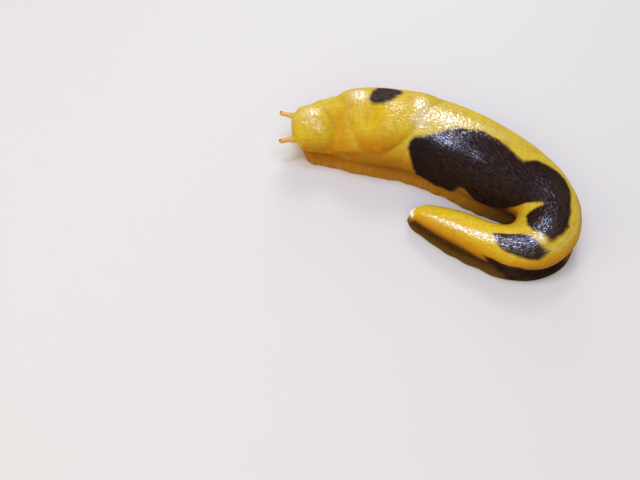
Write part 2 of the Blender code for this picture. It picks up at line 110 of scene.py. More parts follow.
# The mantle: its front and rear edges on the ridge, and how far each slants towards the left
MANTLE_FRONT = 18.0
MANTLE_REAR = 42.8
MANTLE_FRONT_SLANT = 3.6
MANTLE_REAR_SLANT = 6.4
MANTLE_CORNER = 2.4
MANTLE_REACH = 0.65
MANTLE_DRAWN_UP = (0.16, 0.08)  # how much less it reaches down at the rear, on the left and on the right
MANTLE_SQUARENESS = 4.5
MANTLE_HALF = 12.0  # about half of the mantle's length and width
MANTLE_RIM = 0.9  # height of the mantle above the back just inside its edge
MANTLE_FULL = 0.7  # how much higher its middle stands
MANTLE_EDGE_RUN = 2.2  # width of its rounded edge at the sides and rear, which is wider at the front
MANTLE_FRONT_RUN = 2.6
MANTLE_CREASE = 0.06  # depth of the crease round it
MANTLE_LIP = 0.32  # height of the swollen lip along its front
MANTLE_REAR_DROP = 0.25
# Swellings and dents: distance along, share of the arch, height, spread along, spread across
SWELLS = (
    (4.0, -0.50, -0.6, 2.8, 0.28),
    (13.2, 0.32, -0.45, 1.5, 0.26),  # soft fold behind the head
    (9.5, -0.42, 0.9, 2.6, 0.24),  # slack skin on the right of the neck
    (14.0, -0.45, 1.6, 3.2, 0.32),
    (21.0, -0.10, 0.7, 3.6, 0.24),  # front lobe of the mantle
    (25.6, 0.16, -1.9, 2.4, 0.12),  # dent behind it
    (22.0, 0.12, -0.4, 1.4, 0.10),
    (32.0, 0.30, 1.0, 5.5, 0.17),  # bulge on the left
    (31.0, -0.52, -0.7, 8.0, 0.24),
    (40.0, -0.08, 0.3, 5.0, 0.25),
    (106.0, 0.48, -1.5, 7.0, 0.22),  # narrow waist where the tail turns forward
    (117.0, 0.45, -0.7, 6.0, 0.22),
)
# The round bulb of the head: its middle, its reach along and across, and its height
BULB = (6.6, 0.30)
BULB_REACH = (6.6, 0.44)
BULB_HEIGHT = 1.7
# A long fold from the chin to the mantle's lower edge: distance along and share of the arch
NECK_FOLD = ((0.0, 0.78), (8.0, 0.82), (12.0, 0.78), (15.5, 0.70), (20.0, 0.63), (26.0, 0.60))
NECK_FOLD_STEP = 0.55
# Where the mucus lies thick and wet, giving gloss and a pale painted sheen: distance along, share of the
# arch, strength, spread along, spread across
WET_PATCHES = (
    (9.3, 0.30, 0.62, 1.8, 0.07),
    (6.0, 0.06, 0.85, 3.2, 0.17),
    (21.5, -0.16, 1.00, 2.8, 0.15),
    (18.5, 0.06, 0.40, 1.2, 0.12),
    (33.5, 0.00, 0.50, 2.6, 0.06),
    (32.5, 0.17, 0.24, 4.5, 0.10),
    (38.5, 0.16, 0.26, 3.0, 0.12),
    (41.5, -0.08, 1.00, 2.2, 0.14),
    (42.0, 0.10, 0.80, 2.2, 0.10),
    (49.5, 0.00, 0.95, 6.5, 0.15),
    (59.0, -0.10, 0.55, 6.0, 0.09),
    (67.0, -0.18, 0.35, 5.0, 0.10),
    (52.0, 0.22, 1.00, 5.0, 0.06),
    (63.0, 0.24, 0.35, 3.0, 0.04),
    (91.0, -0.06, 0.22, 6.0, 0.20),
    (101.0, -0.02, 0.90, 3.2, 0.16),
    (105.0, -0.17, 0.80, 2.6, 0.10),
    (110.0, -0.20, 1.00, 4.2, 0.11),
    (118.0, -0.21, 1.00, 5.0, 0.08),
    (129.0, -0.21, 1.00, 8.0, 0.06),
    (107.5, -0.84, 0.50, 4.0, 0.05),
    (98.0, -0.42, 0.50, 8.0, 0.04),
    (104.0, -0.36, 0.50, 3.0, 0.03),
)
WET_EVERYWHERE = 0.03
BEND_START = 95.0  # past here the wrinkles are short
WRINKLE_AT_BEND = 1.25
WRINKLE_FALL = 7.5  # how far the wrinkles drop below the ridge behind the mantle
WRINKLE_FALL_START = 38.0
WRINKLE_FALL_RUN = 10.0
LUMP_HEIGHT = 0.16
FOOT_RIPPLE = 0.22
PEBBLE = (0.95, 1.3)  # length and width of the fine bumps on the head and mantle
PEBBLE_HEIGHT = 0.06
BRICK_LOOSENESS = 0.75  # how far the middles of wrinkles and bumps stray, as a share of their size
BLOTCH_ARCH = 25.0  # length of the arc for one share of the arch, as the blotches' edges take it
NO_BLOTCH = -9.0
PORE = (33.0, -0.58)
PORE_RADII = (1.9, 0.06)
PORE_RIM = 0.22
PORE_DEPTH = 2.0

# Feelers: root and aim along, to the side and up, and a profile of distances along and radii
FEELER_ROOT = (1.1, 5.0, 8.4)
FEELER_AIM = (-1.0, 0.28, 0.06)
FEELER_PROFILE = (
    (5.2, 0.0), (5.12, 0.5), (4.8, 0.74), (4.2, 0.78), (3.2, 0.76), (2.0, 0.84), (0.9, 1.00), (0.1, 1.30),
    (-0.9, 1.30), (-1.5, 0.9), (-1.5, 0.0),
)
EYE_PLACE = (4.72, 0.42)  # along the feeler and up from its middle line
LOWER_FEELER_ROOT = (1.5, 3.2, 6.0)
LOWER_FEELER_AIM = (-1.0, 0.35, -0.30)
LOWER_FEELER_PROFILE = (
    (1.95, 0.0), (1.9, 0.2), (1.7, 0.42), (1.3, 0.56), (0.7, 0.62), (0.2, 0.76), (-0.8, 0.76), (-1.3, 0.5),
    (-1.3, 0.0),
)
# Each pair: name, root, aim, profile, distance from ring to ring, height of a ring, and reach of its colour
FEELERS = (
    ("upper_", FEELER_ROOT, FEELER_AIM, FEELER_PROFILE, 0.55, 0.03, 1.7),
    ("lower_", LOWER_FEELER_ROOT, LOWER_FEELER_AIM, LOWER_FEELER_PROFILE, 0.50, 0.02, 1.0),
)
FEELER_WET = 0.35
SIDES = (("left", 1), ("right", -1))
# What the skin's masks are at the snout
SNOUT_MASKS = {
    "mantle": 0, "groove": 0, "cavity": 0, "blotch": NO_BLOTCH, "bulb": 1, "foot": 0, "share": 0, "wet": 0.1,
}
LIP_CENTRE = (1.5, 1.15, 5.2)
LIP_RADII = (1.5, 1.1, 1.5)
MOUTH_CENTRE = (0.9, 0.0, 4.7)
MOUTH_SLIT = (2.4, 0.35, 2.2)
SLIME_RADII = (0.8, 2.2, 1.3)
SLIME_WRAP = 0.28  # how much the plug bends round the tip of the tail
SLIME_HEIGHT = 4.7

# Outlines of the dark blotches: distance along and share of the arch, from corner to corner
BLOTCHES = (
    (
        (38.7, 0.47), (39.1, 0.38), (40.4, 0.31), (44, 0.28), (49, 0.17), (53.5, 0.05), (60.5, -0.03),
        (67, -0.07), (72, -0.03), (77, 0.03), (78.5, -0.12), (81, -0.24), (86, -0.36), (92, -0.27),
        (99, -0.29), (102.5, -0.27), (105, 0.05), (105.2, 0.18), (104.2, 0.30), (101, 0.40), (97, 0.36),
        (93.5, 0.20), (91.8, 0.38), (89, 0.60), (84, 0.78), (79.5, 0.87), (73.5, 0.92), (69.8, 0.88),
        (67.5, 0.79), (64.5, 0.74), (62, 0.76), (60.7, 0.90), (59.8, 1.14), (52, 1.17), (46, 1.06),
        (42.6, 0.80), (40.4, 0.60),
    ),
    (
        (104, -0.40), (105, -0.24), (106.5, -0.09), (109, 0.01), (113, -0.02), (116, -0.09), (116, -0.15),
        (113.5, -0.32), (109.5, -0.43), (106, -0.50),
    ),
    (
        (99, -1.00), (101.5, -0.88), (104.5, -0.80), (107.5, -0.76), (111.5, -0.67), (114.5, -0.59),
        (117.0, -0.60), (115.5, -0.80), (113.5, -1.05), (110, -1.5), (99, -1.5),
    ),
    (
        (24.6, -0.06), (25.6, -0.15), (27.0, -0.25), (28.2, -0.33), (31.0, -0.37), (34.4, -0.31),
        (35.4, -0.24), (34.0, -0.15), (31.8, -0.05), (29.3, 0.0), (26.6, -0.01),
    ),
    (
        (52, -0.62), (57, -0.48), (64, -0.50), (68, -0.62), (63, -0.74), (55, -0.76),
    ),
)

FLESH = (
    "head", "neck", "mantle", "trunk_front", "trunk_middle", "trunk_rear", "tail_bend", "tail_base",
    "tail_middle", "tail_tip", "foot_front", "foot_middle", "foot_bend", "foot_tail", "upper_feeler_left",
    "upper_feeler_right", "lower_feeler_left", "lower_feeler_right",
)


def linear(code):
    """A linear colour with its alpha from an sRGB hex value."""
    parts = [int(code[k : k + 2], 16) / 255 for k in (1, 3, 5)]
    return (*(c / 12.92 if c <= 0.04045 else ((c + 0.055) / 1.055) ** 2.4 for c in parts), 1.0)


def smooth_curve(knots, values, at):
    """Values on a smooth curve through the knots, by cubic Hermite pieces."""
    knots = np.asarray(knots, float)
    values = np.asarray(values, float).reshape(len(knots), -1)
    at = np.atleast_1d(np.asarray(at, float))
    span = np.diff(knots)[:, None]
    rise = np.diff(values, axis=0) / span
    slope = np.empty_like(values)
    slope[0] = rise[0]
    slope[-1] = rise[-1]
    slope[1:-1] = (rise[:-1] * span[1:] + rise[1:] * span[:-1]) / (span[1:] + span[:-1])
    piece = np.clip(np.searchsorted(knots, at, "right") - 1, 0, len(knots) - 2)
    t = ((at - knots[piece]) / span[piece, 0])[:, None]
    return (
        (1 + 2 * t) * (1 - t) ** 2 * values[piece]
        + t * (1 - t) ** 2 * span[piece] * slope[piece]
        + t * t * (3 - 2 * t) * values[piece + 1]
        + t * t * (t - 1) * span[piece] * slope[piece + 1]
    )


STATION_TABLE = np.array(STATIONS)
MIDLINE = (STATION_TABLE[:, 0:2] + STATION_TABLE[:, 2:4]) / 2
ALONG = np.concatenate([[0.0], np.cumsum(np.linalg.norm(np.diff(MIDLINE, axis=0), axis=1))])
BODY_LENGTH = float(ALONG[-1])
BODY_END = BODY_LENGTH - BODY_TIP


def smoothstep(low, high, value):
    """A smooth rise from 0 at low to 1 at high."""
    t = np.clip((value - low) / (high - low), 0.0, 1.0)
    return t * t * (3 - 2 * t)


def rounded(share):
    """A quarter circle's rise from 0 to 1 over a share of its way."""
    return np.sqrt(1 - (1 - np.clip(share, 0.0, 1.0)) ** 2)


def bell(value, centre, spread):
    """A smooth bump of height 1."""
    return np.exp(-(((value - centre) / spread) ** 2))


def add_patches(values, patches, along, share):
    """Add soft patches, each with its distance along, share of the arch, strength and two spreads."""
    for centre, middle, strength, spread, width in patches:
        values = values + strength * bell(along, centre, spread) * bell(share, middle, width)
    return values


def station(along):
    """Right edge, left edge, top, groove height, roundness and tuck at distances along the back."""
    row = smooth_curve(ALONG, STATION_TABLE, along)
    return row[:, 0:2], row[:, 2:4], *row[:, 4:].T


def ring_frame(along):
    """Middle of the foot, unit vector to the animal's left, and half width of the foot."""
    right, left, *_ = station(along)
    across = left - right
    width = np.linalg.norm(across, axis=1)
    return (right + left) / 2, across / width[:, None], width / 2


def arch(along, shares):
    """Sideways places and heights of points over the back."""
    _, _, half = ring_frame(along)
    _, _, top, low, roundness, tuck = station(along)
    small = np.minimum(1.0, half / FULL_HALF_WIDTH)
    flank = half - FLANK_INSET * small
    groove = half - tuck * small
    low = low + GROOVE_LIFT
    waist = low + (top - low) * WAIST
    share = np.abs(shares)
    upper = np.minimum(share / SHOULDER, 1.0) * math.pi / 2
    lower = np.clip((share - SHOULDER) / (1 - SHOULDER), 0.0, 1.0) * math.pi / 2
    power = (2 / roundness)[:, None]
    over = share <= SHOULDER
    side_up = flank[:, None] * np.sin(upper) ** power
    high_up = waist[:, None] + (top - waist)[:, None] * np.maximum(np.cos(upper), 0.0) ** power
    side_low = groove[:, None] + (flank - groove)[:, None] * np.cos(lower)
    high_low = waist[:, None] - (waist - low)[:, None] * np.sin(lower)
    return np.where(over, side_up, side_low) * np.sign(shares), np.where(over, high_up, high_low)


def skin_rows():
    """Distances along the back of the skin's rows, closer together at its two rounded ends."""
    turn = np.linspace(0, math.pi / 2, SNOUT_ROWS + 1)
    snout = SNOUT_BLUNT * (1 - np.cos(turn))
    turn = np.linspace(math.pi / 2, 0, TIP_ROWS + 1)
    tip = BODY_END - TIP_BLUNT * (1 - np.cos(turn))
    return np.concatenate([snout, np.linspace(snout[-1], tip[0], BODY_ROWS + 2)[1:-1], tip])


def skin_layout():
    """Distance along of each row, share of the arch of each column, and points of the plain skin."""
    rows = skin_rows()
    shares = np.linspace(-1, 1, ARCH_COLUMNS)
    side, high = arch(rows, shares)
    for from_end, blunt in ((rows, SNOUT_BLUNT), (BODY_END - rows, TIP_BLUNT)):
        size = rounded(from_end / blunt)[:, None]
        middle = high.mean(axis=1, keepdims=True)
        side, high = side * size, middle + (high - middle) * size

    foot_rows = rows + BODY_TIP * smoothstep(BODY_END - 4.0, BODY_END, rows)
    _, _, half = ring_frame(foot_rows)
    _, _, _, low, _, tuck = station(foot_rows)
    from_end = np.minimum(foot_rows - FOOT_START, BODY_LENGTH - foot_rows)
    rounding = rounded(from_end / FOOT_ROUNDING)
    half = half * rounding
    low = low * (0.2 + 0.8 * rounding)
    small = np.minimum(1.0, half / FULL_HALF_WIDTH)
    climb, inset = skirt_curve()
    skirt = half[:, None] - inset * (tuck * small)[:, None]
    skirt_high = low[:, None] * climb
    sole = skirt[:, :1] * np.linspace(0, 1, SOLE_COLUMNS + 1)[:-1]
    foot_side = np.concatenate([sole, skirt], axis=1)
    foot_high = np.concatenate([sole * 0, skirt_high], axis=1)

    # Under the snout the skin runs straight across, then comes down round the front of the foot
    down = rounded((rows - FOOT_START) / FOOT_FRONT)[:, None]
    across = np.linspace(0, 1, foot_side.shape[1] + 1)[None, :-1]
    foot_side = side[:, -1:] * across * (1 - down) + foot_side * down
    foot_high = high[:, :1] * (1 - down) + foot_high * down

    side = np.concatenate([-foot_side, side, foot_side[:, ::-1]], axis=1)
    high = np.concatenate([foot_high, high, foot_high[:, ::-1]], axis=1)
    count = foot_side.shape[1]
    shares = np.concatenate([np.full(count, -1.0), shares, np.full(count, 1.0)])
    on_foot = np.abs(np.arange(len(shares)) - len(shares) / 2) > ARCH_COLUMNS / 2
    where = rows[:, None] + (foot_rows - rows)[:, None] * on_foot
    middle, left, _ = ring_frame(where.ravel())
    flat = middle + left * side.reshape(-1, 1)
    points = np.concatenate([flat, high.reshape(-1, 1)], axis=1).reshape(*side.shape, 3)
    return rows, shares, points


def skirt_curve():
    """Height share and inset share of the columns up the foot's skirt, from the sole to the groove."""
    inset, climb = np.array(FOOT_SKIRT).T
    knots = np.arange(len(climb))
    at = np.linspace(0, len(climb) - 1, SKIRT_COLUMNS)
    both = smooth_curve(knots, np.stack([climb, inset], axis=1), at)
    return both[:, 0][None, :], both[:, 1][None, :]


def outward_normals(points):
    """Unit normals of a grid of points, out of the body."""
    along = np.gradient(points, axis=0)
    round_it = np.gradient(points, axis=1)
    normal = np.cross(round_it, along)
    length = np.linalg.norm(normal, axis=2, keepdims=True)
    return normal / np.maximum(length, 1e-9)


def scatter(i, j, seed):
    """A number from 0 to 1 that looks random but is the same each time."""
    return np.mod(np.sin(i * 12.9898 + j * 78.233 + seed * 37.719) * 43758.5453, 1.0)


def cells(a, b, seed=0.0):
    """Distance to the border between loose bricks: 0 on a border, about 1 in the middle."""
    row, line = np.floor(a), np.floor(b)
    first = np.full(a.shape, 9.0)
    second = np.full(a.shape, 9.0)
    for di in (-2, -1, 0, 1, 2):
        for dj in (-1, 0, 1):
            i, j = row + di, line + dj
            x = i + 0.5 * np.mod(j, 2) + 0.5 + (scatter(i, j, seed) - 0.5) * BRICK_LOOSENESS
            y = j + 0.5 + (scatter(i, j, seed + 5.0) - 0.5) * BRICK_LOOSENESS
            far = np.hypot(a - x, b - y)
            second = np.minimum(second, np.maximum(first, far))
            first = np.minimum(first, far)
    return second - first


def wander(a, b, seed=0.0):
    """A slow, smooth wave over the skin, from about -1 to 1."""
    return (
        np.sin(a * 0.21 + 1.7 * np.sin(b * 0.17 + seed) + seed * 2.1)
        + np.sin(b * 0.33 + 1.3 * np.sin(a * 0.13 - seed) + seed * 4.3)
    ) / 2


def depth_in_outline(along, across, outline):
    """Distance in millimetres to an outline, positive inside it."""
    best = np.full(along.shape, 1e9)
    inside = np.zeros(along.shape, bool)
    for (ax, ay), (bx, by) in zip(outline, outline[1:] + outline[:1]):
        dx, dy = bx - ax, by - ay
        t = np.clip(((along - ax) * dx + (across - ay) * dy) / (dx * dx + dy * dy), 0, 1)
        best = np.minimum(best, np.hypot(along - ax - t * dx, across - ay - t * dy))
        crosses = (ay > across) != (by > across)
        with np.errstate(divide="ignore", invalid="ignore"):
            inside ^= crosses & (along < dx * (across - ay) / (dy if dy else 1e-9) + ax)
    return np.where(inside, best, -best)


def mantle_place(along, share):
    """How far out on the mantle a point lies, 0 in its middle and 1 at its edge, and how far down it."""
    across = share / MANTLE_REACH
    for _ in range(6):
        side = np.clip(across, -1.3, 1.3)
        front = MANTLE_FRONT + MANTLE_FRONT_SLANT * side + MANTLE_CORNER * np.where(side < 0, side, 0) ** 4
        rear = MANTLE_REAR - MANTLE_REAR_SLANT * side - MANTLE_CORNER * side**4
        down = np.clip((along - front) / (rear - front), -1.0, 2.0)
        reach = MANTLE_REACH - np.where(across > 0, *MANTLE_DRAWN_UP) * np.clip(down, 0, 1) ** 2
        across = share / reach
    out = np.abs(1 - 2 * down) ** MANTLE_SQUARENESS + np.abs(across) ** MANTLE_SQUARENESS
    return out ** (1 / MANTLE_SQUARENESS), down


def relief(shape, along, share, arc, foot):
    """Height of the skin above its plain form, its place across the wrinkles, and the material's masks."""
    out, down = mantle_place(along, share)
    inward = (1 - out) * MANTLE_HALF
    front = smoothstep(0.40, 0.12, down)
    mantle = smoothstep(-1.0, 1.4, inward)
    rise = smoothstep(-0.5, 1.0, inward / (MANTLE_EDGE_RUN + (MANTLE_FRONT_RUN - MANTLE_EDGE_RUN) * front))
    full = np.sqrt(1 - np.clip(out, 0, 1) ** 4)
    height = rise * (MANTLE_RIM * (1 - 0.75 * smoothstep(0.35, 0.8, down)) + MANTLE_FULL * full)
    crease = bell(inward, -0.5, 0.6) * (foot < 0.5) * (1 - 0.9 * front)
    height -= MANTLE_CREASE * crease
    height += MANTLE_LIP * front * bell(inward, 0.9, 0.9)
    height -= MANTLE_REAR_DROP * smoothstep(0.5, 1.0, down) * mantle * full

    # The head's bulb, swellings and dents, the fold under the neck and soft lumps
    drawn_in = smoothstep(0.0, 5.0, along)
    bulb = np.hypot((along - BULB[0]) / BULB_REACH[0], (share - BULB[1]) / BULB_REACH[1])
    height += BULB_HEIGHT * np.clip(1 - bulb**2, 0, 1) ** 0.8
    height = add_patches(height, SWELLS, along, share)
    fold = smooth_curve(*np.array(NECK_FOLD).T, np.clip(along[:, 0], 0, NECK_FOLD[-1][0]))
    past = np.abs(share) - fold
    folded = smoothstep(1.5, 5.0, along) * smoothstep(25.0, 19.0, along) * (1 - foot)
    height += NECK_FOLD_STEP * folded * (smoothstep(0.05, -0.05, past) * bell(past, -0.02, 0.14))
    lumps = LUMP_HEIGHT * wander(along, arc) * (1 - foot)
    height += lumps + FOOT_RIPPLE * foot * wander(along * 4.5, arc * 0.5, 1.0)

    # Breathing pore near the mantle's right edge
    pore = np.hypot((along - PORE[0]) / PORE_RADII[0], (share - PORE[1]) / PORE_RADII[1])
    height += PORE_RIM * bell(pore, 1.25, 0.35) - PORE_DEPTH * (1 - smoothstep(0.35, 1.0, pore))

    # Wrinkles run back and down from the ridge, more steeply behind the mantle than on the smoother tail
    fall = WRINKLE_FALL * (1 - np.exp(-np.maximum(along - WRINKLE_FALL_START, 0.0) / WRINKLE_FALL_RUN))
    line = np.abs(arc) - fall + 0.4 * wander(along * 1.7, arc * 2.6, 2.0)
    past_bend = along - BEND_START
    shorter = (1 / WRINKLE_AT_BEND - 1 / shape.wrinkle_length) * (past_bend + np.hypot(past_bend, 2.0)) / 2
    rugae = cells(along / shape.wrinkle_length + shorter, line / shape.wrinkle_spacing)
    trunk = (1 - mantle) * (1 - foot) * smoothstep(14.0, 19.0, along)
    trunk *= smoothstep(BODY_LENGTH, BODY_LENGTH - 8, along)
    trunk *= 1 - 0.80 * smoothstep(106.0, 118.0, along)
    trunk *= 1 - 0.55 * smoothstep(0.5, 0.8, np.abs(share))
    ridge = np.sin(np.clip(rugae / 0.75, 0, 1) * math.pi / 2)
    height += trunk * shape.wrinkle_depth * (ridge - 0.6)
    pebbles = cells(along / PEBBLE[0], arc / PEBBLE[1], 3.0)
    smooth_parts = np.clip(mantle + smoothstep(17.0, 13.0, along), 0, 1) * (1 - foot)
    height += smooth_parts * PEBBLE_HEIGHT * (smoothstep(0.0, 0.5, pebbles) - 0.5)
    # The grooves between wrinkles and bumps, where the material paints shade
    groove = trunk * (1 - ridge) + smooth_parts * 0.35 * (1 - smoothstep(0.0, 0.3, pebbles))

    height *= smoothstep(0.0, 1.2, along) * smoothstep(0.0, 1.2, BODY_LENGTH - along)

    # Masks for the material: hollows that get painted shade, thick mucus that gets gloss and a pale painted
    # sheen, and how deep a point lies in a blotch
    under_fold = folded * bell(past, 0.07, 0.05)
    bulb_edge = bell(bulb, 1.06, 0.10) * smoothstep(7.0, 12.0, along)
    cavity = 0.5 * crease + 0.6 * under_fold + 0.35 * bulb_edge + (1 - smoothstep(0.2, 0.8, pore))
    wet = add_patches(np.full(along.shape, WET_EVERYWHERE), WET_PATCHES, along, share)
    blotch = np.full(along.shape, NO_BLOTCH)
    across = (share + np.sign(share) * 0.4 * foot) * BLOTCH_ARCH
    for outline in BLOTCHES:
        corners = [(place, share_there * BLOTCH_ARCH) for place, share_there in outline]
        blotch = np.maximum(blotch, depth_in_outline(along, across, corners))
    masks = {
        "mantle": mantle,
        "groove": groove,
        "cavity": np.clip(cavity, 0, 1),
        "blotch": np.clip(blotch, NO_BLOTCH, -NO_BLOTCH),
        "bulb": 1 - (1 - smoothstep(1.2, 0.8, bulb)) * drawn_in,
        "share": share * drawn_in * smoothstep(0.0, 4.0, BODY_LENGTH - along),
        "wet": np.clip(wet, 0.0, 1.0),
    }
    return height, line + np.where(arc < 0, 50.0, 0.0), masks


def local_frame(along):
    """Unit vectors towards the tail, to the animal's left and up."""
    _, across, _ = ring_frame(np.array([float(along)]))
    return np.array([[-across[0, 1], across[0, 0], 0.0], [across[0, 0], across[0, 1], 0.0], [0.0, 0.0, 1.0]])


def spot(along, sideways, height):
    """A point in the slug's own frame from its place behind the snout, to the left and above the floor."""
    middle, across, _ = ring_frame(np.array([float(along)]))
    flat = middle[0] + across[0] * sideways - np.array(PLAN_MIDDLE)
    return Vector((*flat, height)) * MM


def placement(centre, axes):
    """A matrix that puts a piece's own axes along three directions, at a point."""
    turn = Matrix([Vector(axis).normalized() for axis in axes]).transposed()
    return Matrix.Translation(centre) @ turn.to_4x4()


def seat(along, sideways, height):
    """A matrix that seats a piece at a place, its axes to the tail, to the left and up."""
    return placement(spot(along, sideways, height), local_frame(along))


def feeler_frame(root, aim, side):
    """Root and axes of a feeler, the third axis along it."""
    rows = local_frame(root[0])
    line = Vector(np.array([aim[0], aim[1] * side, aim[2]]) @ rows).normalized()
    across = line.cross(Vector((0.0, 0.0, 1.0))).normalized()
    return spot(root[0], root[1] * side, root[2]), (across, line.cross(across), line)


def only(piece):
    """Select one piece and nothing else."""
    bpy.ops.object.select_all(action="DESELECT")
    piece.select_set(True)
    bpy.context.view_layer.objects.active = piece


def read_all(items, field, width=1, kind=np.float32):
    """A field of all items of a mesh: a number for each, or a row of several."""
    values = np.zeros(len(items) * width, kind)
    items.foreach_get(field, values)
    return values.reshape(-1, width) if width > 1 else values


def read_points(mesh):
    """Vertex positions of a mesh as rows."""
    return read_all(mesh.vertices, "co", 3).astype(float)


def write_points(mesh, points):
    """Move a mesh's vertices."""
    mesh.vertices.foreach_set("co", np.asarray(points, np.float32).ravel())
    mesh.update()


def write_mask(mesh, name, values):
    """A number for each vertex, for the material to read."""
    layer = mesh.attributes.get(name) or mesh.attributes.new(name, "FLOAT", "POINT")
    layer.data.foreach_set("value", np.asarray(values, np.float32).ravel())


def read_mask(mesh, name):
    """The numbers kept under a name for each vertex."""
    return read_all(mesh.attributes[name].data, "value")


def apply_all(piece):
    """Apply a piece's modifiers in their order."""
    only(piece)
    for name in [step.name for step in piece.modifiers]:
        bpy.ops.object.modifier_apply(modifier=name)


def face_outwards(piece):
    """Turn a closed piece's faces outwards."""
    only(piece)
    bpy.ops.object.mode_set(mode="EDIT")
    bpy.ops.mesh.select_all(action="SELECT")
    bpy.ops.mesh.normals_make_consistent(inside=False)
    bpy.ops.object.mode_set(mode="OBJECT")


def round_form(name, where, outline, segments=28, rings=36):
    """A closed round form along its own Z: a ball is added, and its rings are drawn out to an outline."""
    bpy.ops.object.select_all(action="DESELECT")
    bpy.ops.mesh.primitive_uv_sphere_add(segments=segments, ring_count=rings, radius=1.0)
    piece = bpy.context.active_object
    piece.name = piece.data.name = name
    points = read_points(piece.data)
    turn = np.arccos(np.clip(points[:, 2], -1, 1)) / math.pi
    heading = np.arctan2(points[:, 1], points[:, 0])
    write_points(piece.data, outline(turn, heading) * MM)
    piece.data.transform(where)
    face_outwards(piece)
    bpy.ops.object.shade_smooth()
    return piece


def feeler_outline(profile, rings_apart, ring_height):
    """The outline of a feeler: its profile with the fine rings of its drawn-in stalk."""
    far, radius = np.array(profile).T
    reach = np.concatenate([[0.0], np.cumsum(np.hypot(np.diff(far), np.diff(radius)))])

    def outline(turn, heading):
        at = turn * reach[-1]
        along, size = smooth_curve(reach, np.stack([far, radius], axis=1), at).T
        stalk = smoothstep(far.max() - 1.3, far.max() - 2.0, along) * smoothstep(-0.2, 0.4, along)
        size = np.maximum(size, 0) + ring_height * stalk * np.sin(along / rings_apart * 2 * math.pi)
        size = np.where((turn < 1e-4) | (turn > 1 - 1e-4), 0.0, size)
        return np.stack([size * np.cos(heading), size * np.sin(heading), along], axis=1)

    return outline


def ball_outline(radii, dent=0.0, lumps=0.0, wrap=0.0):
    """The outline of a ball of three radii, dented on its own underside, lumpy all over or bent round."""

    def outline(turn, heading):
        polar = turn * math.pi
        level = np.sin(polar)
        way = np.stack([level * np.cos(heading), level * np.sin(heading), np.cos(polar)], axis=1)
        swell = 1 + lumps * np.sin(4.1 * way[:, 0] + 2.0 * way[:, 2]) * np.sin(5.3 * way[:, 1] + 1.1)
        swell = swell - dent * smoothstep(0.2, 1.0, -way[:, 2])
        form = way * np.array(radii) * swell[:, None]
        form[:, 0] -= wrap * (form[:, 1] ** 2 + form[:, 2] ** 2)
        return form

    return outline


def add_node(tree, kind, inputs=None, output=0, **settings):
    """Add a shader node with its settings, set or link its inputs, and hand back one of its outputs."""
    node = tree.nodes.new("ShaderNode" + kind)
    for name, value in settings.items():
        setattr(node, name, value)
    for key, value in (inputs or {}).items():
        socket = node.inputs[key]
        if isinstance(value, bpy.types.NodeSocket):
            tree.links.new(value, socket)
        else:
            socket.default_value = value
    return node.outputs[output] if node.outputs else node


def new_material(name):
    """An empty node material with its tree."""
    made = bpy.data.materials.new(name)
    made.use_nodes = True
    made.node_tree.nodes.clear()
    return made, made.node_tree


def clouded_material(name, per_mm, detail):
    """An empty node material with its tree, and noise over its piece with so many clouds in a millimetre."""
    made, tree = new_material(name)
    place = add_node(tree, "TexCoord", output="Object")
    return made, tree, add_node(tree, "TexNoise", {"Vector": place, "Scale": per_mm / MM, "Detail": detail})


PATTERN_RUN = 160.0  # length and width in millimetres that the skin's UV map covers
EVEN = (1.0, 1.0, 1.0)
# Noise in the skin: name, whether it runs along the body, size in mm, stretch, detail and roughness
SKIN_NOISE = (
    ("mottling", False, 2.6, EVEN, 3.0, 0.5),
    ("clouds", False, 7.0, EVEN, 2.0, 0.5),
    ("long_lines", True, 0.8, (7.0, 0.8, 1.0), 2.0, 0.6),
    ("foot_lines", True, 0.9, (1.0, 9.0, 1.0), 1.0, 0.5),
    ("streaks", True, 1.0, (3.2, 0.55, 1.0), 3.0, 0.6),
    ("broad", False, 5.0, EVEN, 2.0, 0.5),
    ("ridges", True, 1.0, (2.6, 0.8, 1.0), 2.0, 0.5),
    ("grain", False, 0.45, EVEN, 2.0, 0.5),
    ("fine_lines", True, 0.42, (3.0, 0.8, 1.0), 2.0, 0.5),
)
# Rounded cells in the skin and its film of mucus: name, whether they run along the body, size in mm, stretch
SKIN_CELLS = (
    ("dimples", False, 1.3, EVEN),
    ("yellow_film", False, 1.15, EVEN),
    ("dark_film", True, 0.9, (1.7, 0.8, 1.0)),
)
CELL_SMOOTHNESS = 0.35
EVEN_FILM = (0.5, 0.5, 0.5, 1.0)
FULL = (0, 1)  # marks a mask that is read in full and evenly
SKIN_GRAIN_DEPTH = 0.22  # in mm
SEE_THROUGH_DEPTH = 1.2  # how far light gets under the skin, in mm


